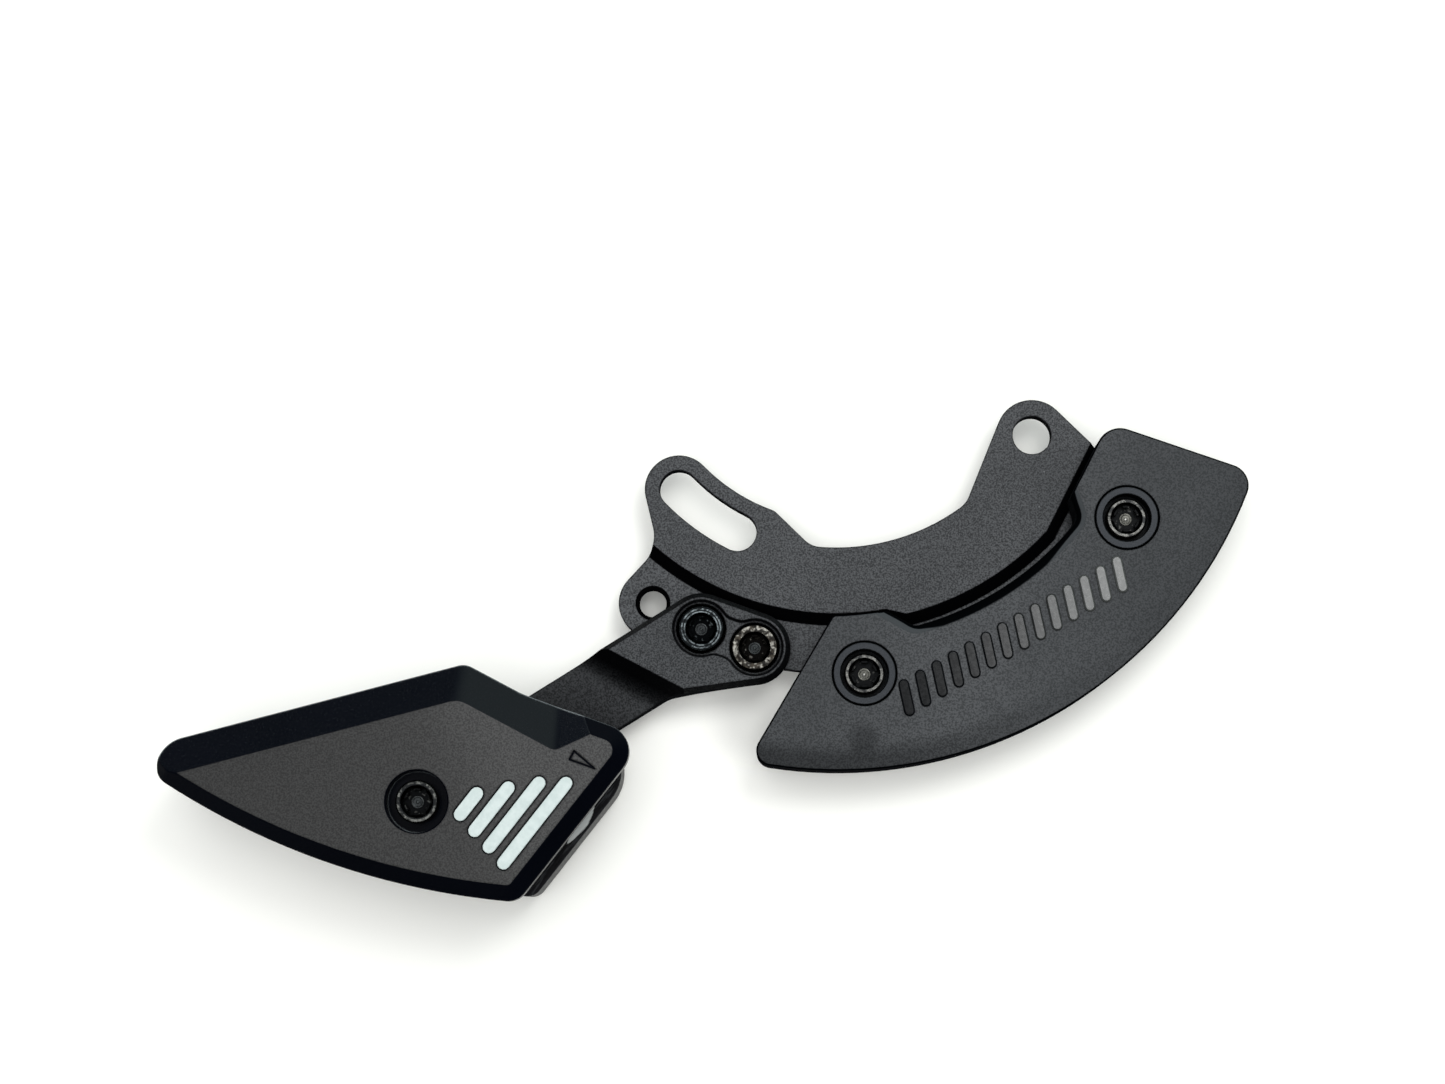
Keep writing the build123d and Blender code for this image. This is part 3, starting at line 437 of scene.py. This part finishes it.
def steel(name, base, bright, spots, top, rings, wear_and_highlight, rough, tint=None):
    """Blackened steel head: socket and faces below the top painted dark as painted shade, rim rubbed bright
    in broken rings, patches rubbed by the driver, and painted glints on the socket's lobes.
    """
    s = Surface(name, edge_mm=0.14, Metallic=1.0)
    patch = s.noise(s.where, 950.0, 4.0, 0.62)
    fine = s.noise(s.where, 5200.0, 2.0, 0.6)
    height = s.part(s.where, "Z")
    radius = s.away(*spots)
    # Painted shade: the socket and everything below the top of the head are painted dark
    head = s.times(
        s.ramp_mm(height, top - 0.4, top - 0.2),
        s.math("LESS_THAN", height, (top + 0.5) * MM),
        s.ramp_mm(radius, SOCKET_DARK_RADIUS - 0.08, SOCKET_DARK_RADIUS + 0.08),
    )
    band = 0.0
    for low, high in rings:
        inner = s.ramp_mm(radius, low - 0.06, low + 0.04)
        outer = s.ramp_mm(radius, high - 0.04, high + 0.06, 1.0, 0.0)
        band = s.math("MAXIMUM", s.times(inner, outer), band)
    band = s.times(band, s.ramp(patch, 0.42, 0.56, 0.05, 1.0))
    edge = s.times(s.ramp(s.edge, 0.02, 0.16), s.ramp(patch, 0.42, 0.62, 0.1, 0.9))
    rubbed = s.ramp(patch, 1.0 - wear_and_highlight, 1.14 - wear_and_highlight)
    amount = s.math("ADD", s.math("ADD", band, edge), rubbed)
    amount = s.times(s.math("MINIMUM", amount, 1.0), head)
    # Painted glints on the lobes near the socket's floor
    lobes = s.times(s.ramp_mm(radius, 1.35, 1.5), s.ramp_mm(radius, 1.9, 2.1, 1.0, 0.0))
    glint = s.times(lobes, s.ramp(s.noise(s.where, 1500.0, 2.0), 0.58, 0.66, 0.0, 0.28))
    amount = s.math("MAXIMUM", amount, glint)
    black = s.mix(s.ramp(fine, 0.3, 0.7), shade_of(base, 0.7), base)
    metal = s.mix(s.ramp(fine, 0.35, 0.65), shade_of(bright, 0.5), bright)
    if tint:
        metal = s.mix(s.ramp(s.noise(s.where, 1300.0, 3.0), 0.42, 0.56), metal, tint)
    s.colour(s.mix(amount, s.mix(head, shade_of(base, 0.25), black), metal))
    s.rough(s.math("ADD", s.ramp(fine, 0.3, 0.7, rough - 0.05, rough + 0.08), s.times(amount, -0.05)))
    s.bump(s.math("ADD", fine, s.times(patch, 1.5)), 0.3, 0.03)
    return s.mat


def bushing_steel():
    """Bushings of the guard: dark, finely turned rings, painted darker below their top as painted shade."""
    s = Surface("bushing_steel", edge_mm=0.14, Metallic=1.0)
    fine = s.noise(s.where, 4200.0, 3.0, 0.6)
    turning_pitch = 0.22 * MM
    turned = s.math("SINE", s.times(s.away(*BASH_BOLTS.values()), 2 * pi / turning_pitch))
    colour = s.mix(s.ramp(fine, 0.35, 0.65), srgb(37, 39, 41), srgb(48, 50, 53))
    # Painted shade: the bushing is painted darker below its top
    outside = s.ramp_mm(s.part(s.where, "Z"), BASH_TOP - 0.7, BASH_TOP - 0.2)
    colour = s.mix(outside, srgb(18, 19, 20), colour)
    wear = s.times(s.ramp(s.edge, 0.03, 0.2), s.ramp(fine, 0.45, 0.62), 0.5)
    s.colour(s.mix(wear, colour, srgb(120, 122, 124)))
    s.rough(s.ramp(fine, 0.3, 0.7, 0.38, 0.5))
    s.bump(s.math("ADD", fine, s.times(turned, 0.25)), 0.25, 0.03)
    return s.mat


def rib_polish_and_painted_sheen():
    """Ribs of the guard: the same black moulding with polished tops, painted paler and given more sheen
    towards the front as a painted reflection.
    """
    s = Surface("guard_rib_polish_and_painted_sheen", edge_mm=0.12)
    grain = s.noise(s.where, 1500.0, 3.0, 0.6)
    colour = s.mix(s.ramp(grain, 0.35, 0.65), srgb(9, 11, 13), srgb(15, 17, 19))
    length = s.part(s.where, "X")
    # Painted reflection: paler colour and more sheen towards the front
    front = s.ramp_mm(length, RIB_START.lerp(RIB_END, 0.4).x, RIB_END.x, 0.0, 0.8)
    colour = s.mix(front, colour, srgb(86, 88, 86))
    wear = s.times(s.ramp(s.edge, 0.04, 0.25), s.ramp(grain, 0.45, 0.6), 0.3)
    s.colour(s.mix(wear, colour, srgb(95, 97, 98)))
    level = s.ramp(s.part(s.normal, "Z"), 0.9, 0.99, 0.3, 1.0)
    s.specular(s.times(s.ramp_mm(length, RIB_START.x, RIB_END.x, 0.12, 1.0), level))
    s.rough(s.ramp(grain, 0.35, 0.65, 0.2, 0.28))
    s.bump(grain, 0.12, 0.03)
    return s.mat


def drill_mark(name, dark, pale, glint, spots):
    """Mark of the drill in a socket's floor: grey steel, darker towards its point, with a painted glint at
    the point.
    """
    s = Surface(name, edge_mm=0.08, Metallic=1.0)
    fine = s.noise(s.where, 5200.0, 3.0, 0.6)
    radius = s.away(*spots)
    tone = s.mix(s.ramp(fine, 0.35, 0.65), dark, pale)
    tone = s.mix(s.ramp_mm(radius, 0.6, 0.85, 0.5, 0.0), tone, dark)
    s.colour(s.mix(s.ramp_mm(radius, 0.14, 0.26, 1.0, 0.0), tone, glint))
    s.rough(s.ramp(fine, 0.3, 0.7, 0.22, 0.36))
    s.bump(fine, 0.3, 0.03)
    return s.mat


def inlay_paint():
    """Pale paint of the bars, slightly uneven and rubbed thin at the rims."""
    s = Surface("slider_bar_paint", edge_mm=0.15, Specular_IOR_Level=0.35)
    tone = s.noise(s.where, 700.0, 3.0, 0.6)
    fine = s.noise(s.where, 3000.0, 3.0, 0.6)
    colour = s.mix(s.ramp(tone, 0.3, 0.7), srgb(196, 209, 206), srgb(210, 221, 218))
    wear = s.times(s.ramp(s.edge, 0.05, 0.25), s.ramp(fine, 0.45, 0.65), 0.5)
    s.colour(s.mix(wear, colour, srgb(120, 128, 127)))
    s.rough(s.ramp(fine, 0.3, 0.7, 0.42, 0.56))
    s.bump(s.math("ADD", fine, tone), 0.2, 0.03)
    return s.mat


MATERIALS = {
    "anodised_plate": finish_metal("anodised_plate", srgb(14, 14, 15), 0.385, (0.9, 0.99), 0.5),
    "anodised_arm": finish_metal("anodised_arm", srgb(12, 13, 14), 0.32, (0.56, 0.95), 0.9, 0.56),
    "guard_nylon": guard_nylon(),
    "slider_plastic": slider_cover_plastic(),
    "slider_base_plastic": slider_base_plastic(),
    "bushing_steel": bushing_steel(),
    "bolt_steel": steel(
        "bolt_steel", srgb(12, 14, 15), srgb(98, 105, 107), [ARM_BOLTS["rear"]], ARM_HEAD_TOP,
        rings=[(2.66, 2.86), (3.1, 3.32)], wear_and_highlight=0.28, rough=0.36),
    "guard_bolt_steel": steel(
        "guard_bolt_steel", srgb(34, 35, 36), srgb(100, 100, 97), BASH_BOLTS.values(), BASH_HEAD_TOP,
        rings=[(2.6, 3.36)], wear_and_highlight=0.3, rough=0.34),
    "worn_bolt_steel": steel(
        "worn_bolt_steel", srgb(20, 19, 18), srgb(142, 140, 133), [ARM_BOLTS["front"]], ARM_HEAD_TOP,
        rings=[(2.66, 3.6)], wear_and_highlight=0.36, rough=0.4, tint=srgb(46, 43, 38)),
}
SLIDER_BOLT = steel(
    "slider_bolt_steel", srgb(22, 23, 24), srgb(86, 87, 84), [SLIDER], SLIDER_HEAD_TOP,
    rings=[(2.84, 3.42)], wear_and_highlight=0.3, rough=0.32)
RIB = rib_polish_and_painted_sheen()
PAINT = inlay_paint()
BRIGHT_MARK = drill_mark(
    "drill_mark_bright", srgb(52, 52, 49), srgb(88, 88, 83), srgb(128, 128, 124), BASH_BOLTS.values())
DULL_MARK = drill_mark(
    "drill_mark_dull", srgb(26, 28, 29), srgb(46, 48, 48), srgb(44, 47, 47), [*ARM_BOLTS.values(), SLIDER])
SLOTS = {row["node"]: row["material_slot"] for row in frame["record"]["subparts"]}
for node, obj in frame["nodes"].items():
    obj.data.materials.clear()
    obj.data.materials.append(SLIDER_BOLT if node == "slider_bolt" else MATERIALS[SLOTS[node]])


# Added pieces
def as_object(name, bm):
    """Turn a bmesh in millimetres of the row frame into an object."""
    bmesh.ops.scale(bm, vec=(MM, MM, MM), verts=bm.verts)
    bmesh.ops.recalc_face_normals(bm, faces=bm.faces)
    mesh = bpy.data.meshes.new(name)
    bm.to_mesh(mesh)
    bm.free()
    obj = bpy.data.objects.new(name, mesh)
    bpy.context.collection.objects.link(obj)
    return obj


def piece(name, bm, slot, mat=None):
    """Turn a bmesh into a piece of the object; a painted piece has no slot of the record."""
    obj = as_object(name, bm)
    obj.data.materials.append(mat or MATERIALS[slot])
    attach(obj, "root")


def skin(bm, loops):
    """Close a solid through a stack of loops, each given as points from the lowest loop up."""
    loops = [[bm.verts.new(point) for point in loop] for loop in loops]
    count = len(loops[0])
    for lower, upper in zip(loops, loops[1:]):
        for k in range(count):
            bm.faces.new((lower[k], lower[(k + 1) % count], upper[(k + 1) % count], upper[k]))
    bm.faces.new(loops[-1])
    bm.faces.new(list(reversed(loops[0])))


def bar(bm, centre, angle, length, width, levels):
    """Upright bar with round ends, its wall going through levels of height and inset."""
    along = heading(angle)
    across = heading(angle + 90)
    end_points = 7
    loops = []
    for z, inset in levels:
        radius = width / 2 - inset
        loop = []
        for end in (1, -1):
            for k in range(end_points):
                turn = radians(-90 + 180 * k / (end_points - 1))
                spot = centre + along * (end * (length - width) / 2)
                spot = spot + (along * cos(turn) + across * sin(turn)) * radius * end
                loop.append((spot.x, spot.y, z))
        loops.append(loop)
    skin(bm, loops)


def angle_of(run):
    """Heading of a vector in plan, in degrees."""
    return degrees(atan2(run.y, run.x))


for k in range(RIB_COUNT):
    bm = bmesh.new()
    spot = RIB_START.lerp(RIB_END, k / (RIB_COUNT - 1))
    shoulder = BASH_TOP + RIB_HEIGHT - RIB_CHAMFER
    levels = [(BASH_TOP - SEAT, 0.0), (shoulder, 0.0), (BASH_TOP + RIB_HEIGHT, RIB_CHAMFER)]
    bar(bm, spot, angle_of(RIB_END - RIB_START) + RIB_SLANT, RIB_LENGTH, RIB_WIDTH, levels)
    piece(f"guard_rib_{k + 1:02d}", bm, "guard_nylon", RIB)


def cover_marks():
    """Four pale bars let into the cover's top, and a cutter for their beds and for the engraved arrow."""
    cutter = bmesh.new()
    for k, end in enumerate(BAR_ENDS):
        start = BAR_FIRST_START + k * BAR_START_STEP
        inward = heading(MOUTH_HEADING + 90) * (BAR_FIRST_OFFSET + k * BAR_PITCH)
        middle = SLIDER_HEEL + inward + heading(MOUTH_HEADING) * (start + end) / 2
        length = end - start + BAR_WIDTH
        levels = [(COVER_TOP - BAR_DEPTH, 0.0), (COVER_TOP + CUT_ABOVE, 0.0)]
        bar(cutter, middle, MOUTH_HEADING, length + 2 * BAR_RIM, BAR_WIDTH + 2 * BAR_RIM, levels)
        bm = bmesh.new()
        bar_top = COVER_TOP - BAR_BELOW_TOP
        levels = [(COVER_TOP - BAR_DEPTH - SEAT, 0.0), (bar_top - BAR_CHAMFER, 0.0), (bar_top, BAR_CHAMFER)]
        bar(bm, middle, MOUTH_HEADING, length, BAR_WIDTH, levels)
        piece(f"slider_bar_{k + 1:02d}", bm, None, PAINT)
    for k in range(len(ARROW)):
        side = ARROW[k] - ARROW[k - 1]
        middle = (ARROW[k] + ARROW[k - 1]) / 2
        levels = [(COVER_TOP - ARROW_DEPTH, 0.0), (COVER_TOP + CUT_ABOVE, 0.0)]
        bar(cutter, middle, angle_of(side), side.length + ARROW_LINE, ARROW_LINE, levels)
    cutter = as_object("cover_mark_cutter", cutter)
    cutter.hide_render = True
    cover = frame["nodes"]["slider_cover"]
    engrave = cover.modifiers.new("marks", "BOOLEAN")
    engrave.operation = "DIFFERENCE"
    engrave.solver = "EXACT"
    engrave.use_self = True
    engrave.object = cutter
    crisp = cover.modifiers.new("crisp_edges", "EDGE_SPLIT")
    crisp.split_angle = radians(CRISP_ANGLE)


cover_marks()


def thread(name, spot, radius, low, high, pitch, slot):
    """Internal thread: a triangular ridge wound up the wall of a hole."""
    ridge = ((radius + 0.06, -0.36 * pitch), (radius - 0.3, 0.0), (radius + 0.06, 0.36 * pitch))
    steps_per_turn = 28
    bm = bmesh.new()
    turns = (high - low - pitch) / pitch
    count = int(turns * steps_per_turn)
    previous = None
    for k in range(count + 1):
        turn = 2 * pi * turns * k / count
        z = low + pitch / 2 + pitch * turns * k / count
        loop = []
        for r, dz in ridge:
            loop.append(bm.verts.new((spot.x + r * cos(turn), spot.y + r * sin(turn), z + dz)))
        if previous:
            for i in range(3):
                j = (i + 1) % 3
                bm.faces.new((previous[i], previous[j], loop[j], loop[i]))
        else:
            bm.faces.new(loop)
        previous = loop
    bm.faces.new(list(reversed(previous)))
    piece(name, bm, slot)


thread("spare_hole_thread", SPARE_HOLE, SPARE_HOLE_RADIUS, SPARE_THREAD_LOW, SPARE_THREAD_HIGH,
       SPARE_THREAD_PITCH, "anodised_plate")

# Radius and height above the socket's floor, from the rim of a drill mark to its point
DRILL_PROFILE = ((1.08, -0.02), (1.0, 0.12), (0.85, 0.15), (0.65, 0.08), (0.3, 0.1), (0.15, 0.16))
DRILL_POINTS = 20


def dimple(name, spot, head_top, slot, mat):
    """Shallow disc with a raised rim and point, left by the drill at the bottom of a driver socket."""
    floor = head_top - SOCKET_DEPTH
    rings = []
    for r, dz in DRILL_PROFILE:
        turns = [2 * pi * k / DRILL_POINTS for k in range(DRILL_POINTS)]
        rings.append([(spot.x + r * cos(turn), spot.y + r * sin(turn), floor + dz) for turn in turns])
    bm = bmesh.new()
    skin(bm, rings)
    piece(name, bm, slot, mat)


for end, spot in BASH_BOLTS.items():
    dimple(f"bash_bolt_{end}_dimple", spot, BASH_HEAD_TOP, "guard_bolt_steel", BRIGHT_MARK)
dimple("arm_bolt_rear_dimple", ARM_BOLTS["rear"], ARM_HEAD_TOP, "bolt_steel", DULL_MARK)
dimple("arm_bolt_front_dimple", ARM_BOLTS["front"], ARM_HEAD_TOP, "worn_bolt_steel", DULL_MARK)
dimple("slider_bolt_dimple", SLIDER, SLIDER_HEAD_TOP, "bolt_steel", DULL_MARK)


# Table, light and camera
def table():
    """White table under the part, with its soft shadow, painted shade where the part lies close, under the
    spare hole and under the arm, and painted light under the frame slot.
    """
    bpy.ops.mesh.primitive_plane_add(size=TABLE_SIZE * MM, location=Vector((*TABLE_MIDDLE, TABLE)) * MM)
    plane = bpy.context.object
    plane.name = "table"
    mat = bpy.data.materials.new("table")
    mat.use_nodes = True
    t = Tree(mat.node_tree)
    out = t.add("ShaderNodeOutputMaterial")
    tone = t.noise(t.add("ShaderNodeTexCoord").outputs["Object"], 30.0, 3.0)
    colour = t.mix(t.ramp(tone, 0.3, 0.7), (0.79, 0.79, 0.755, 1), (0.81, 0.81, 0.775, 1))
    # Painted shade: the table's glow is dimmed where the part lies close
    shade = t.add("ShaderNodeAmbientOcclusion", {"Distance": 18.0 * MM}, samples=8).outputs["AO"]
    shade = t.ramp(shade, 0.2, 0.95, 0.45, 1.0)
    place = t.add("ShaderNodeNewGeometry").outputs["Position"]

    def away(spot):
        return t.vec("DISTANCE", place, Vector((*spot, TABLE)) * MM)

    # Painted light: the shade is lifted under the frame slot
    shade = t.math("MAXIMUM", shade, t.ramp_mm(away(FRAME_SLOT), 8.0, 12.0, 0.95, 0.0))
    # Painted shade under the spare hole and under the arm, in both glow and colour
    for spot, inner, outer, depth in ((SPARE_HOLE, 2.5, 4.5, 0.5), (ARM_SHADE, 2.0, 10.0, 0.66)):
        close = t.ramp_mm(away(spot), inner, outer, depth, 1.0)
        shade = t.times(shade, close)
        colour = t.mix(close, (0.3, 0.3, 0.29, 1), colour)
    body = t.add("ShaderNodeBsdfDiffuse", {"Color": colour})
    path = t.add("ShaderNodeLightPath")
    seen = t.math("MAXIMUM", path.outputs["Is Camera Ray"], path.outputs["Is Glossy Ray"])
    seen = t.math("MAXIMUM", seen, path.outputs["Is Transmission Ray"])
    strength = t.times(seen, shade, 0.31)
    glow = t.add("ShaderNodeEmission", {"Color": (1.0, 1.0, 0.955, 1), "Strength": strength})
    total = t.add("ShaderNodeAddShader", {0: body.outputs[0], 1: glow.outputs[0]})
    t.tree.links.new(total.outputs[0], out.inputs[0])
    plane.data.materials.append(mat)


table()


def sky():
    """Soft surroundings: bright overhead and towards the top of the picture, dim low down in front."""
    world = bpy.data.worlds.new("surroundings")
    world.use_nodes = True
    bpy.context.scene.world = world
    t = Tree(world.node_tree)
    out = t.add("ShaderNodeOutputWorld")
    way = t.add("ShaderNodeTexCoord").outputs["Generated"]
    up = t.part(way, "Z")
    to_window = t.vec("DOT_PRODUCT", way, Vector((0.55, 0.80, 0.22)).normalized())
    far = t.ramp(t.part(way, "Y"), -0.2, 0.5, 0.012, 0.09)
    window = t.ramp(to_window, 0.55, 1.0, 0.0, 0.7)
    overhead = t.times(
        t.ramp(up, 0.74, 0.96, 0.0, 2.6),
        t.ramp(up, 0.988, 0.9975, 1.0, 0.1),
        t.ramp(t.part(way, "X"), -0.12, 0.12, 1.5, 0.8),
    )
    level = t.math("ADD", t.math("ADD", overhead, window), far)
    seen = t.add("ShaderNodeLightPath").outputs["Is Camera Ray"]
    level = t.math("MAXIMUM", level, seen)
    low = t.mix(t.ramp(to_window, 0.45, 0.95), (0.55, 0.75, 1.0, 1), (0.82, 1.0, 0.98, 1))
    colour = t.mix(t.ramp(up, 0.55, 0.8), low, (0.98, 0.99, 1.0, 1))
    colour = t.mix(seen, colour, (1, 1, 1, 1))
    back = t.add("ShaderNodeBackground", {"Color": colour, "Strength": level})
    t.tree.links.new(back.outputs[0], out.inputs[0])


sky()


def lamp(name, place, target, size, power):
    """Round area lamp that looks at a target."""
    light = bpy.data.lights.new(name, "AREA")
    light.shape = "DISK"
    light.size = size
    light.energy = power
    obj = bpy.data.objects.new(name, light)
    obj.location = place
    obj.rotation_euler = (Vector(target) - Vector(place)).to_track_quat("-Z", "Y").to_euler()
    bpy.context.collection.objects.link(obj)


lamp("key", place=(0.20, 0.30, 0.85), target=(-0.04, -0.04, 0.0), size=0.35, power=2.5)

# The photograph's camera, placed from the bottom bracket axis
CAMERA_PLACE = Vector((-9.23, -99.16, 539.78))
CAMERA_RIGHT = Vector((0.999835, 0.0, -0.018172))
CAMERA_FORWARD = Vector((-0.01804, 0.12005, -0.9926)).normalized()
camera = bpy.data.cameras.new("camera")
camera.sensor_fit = "HORIZONTAL"
camera.sensor_width = 36.0
camera.lens = 80.97
camera.clip_start = 0.01
eye = bpy.data.objects.new("camera", camera)
upward = CAMERA_RIGHT.cross(CAMERA_FORWARD).normalized()
turn = Matrix((CAMERA_RIGHT, upward, -CAMERA_FORWARD)).transposed()
eye.matrix_world = Matrix.Translation((CAMERA_PLACE + Vector((*BB, 0))) * MM) @ turn.to_4x4()
bpy.context.collection.objects.link(eye)
bpy.context.scene.camera = eye

bpy.context.scene.view_settings.view_transform = "Standard"
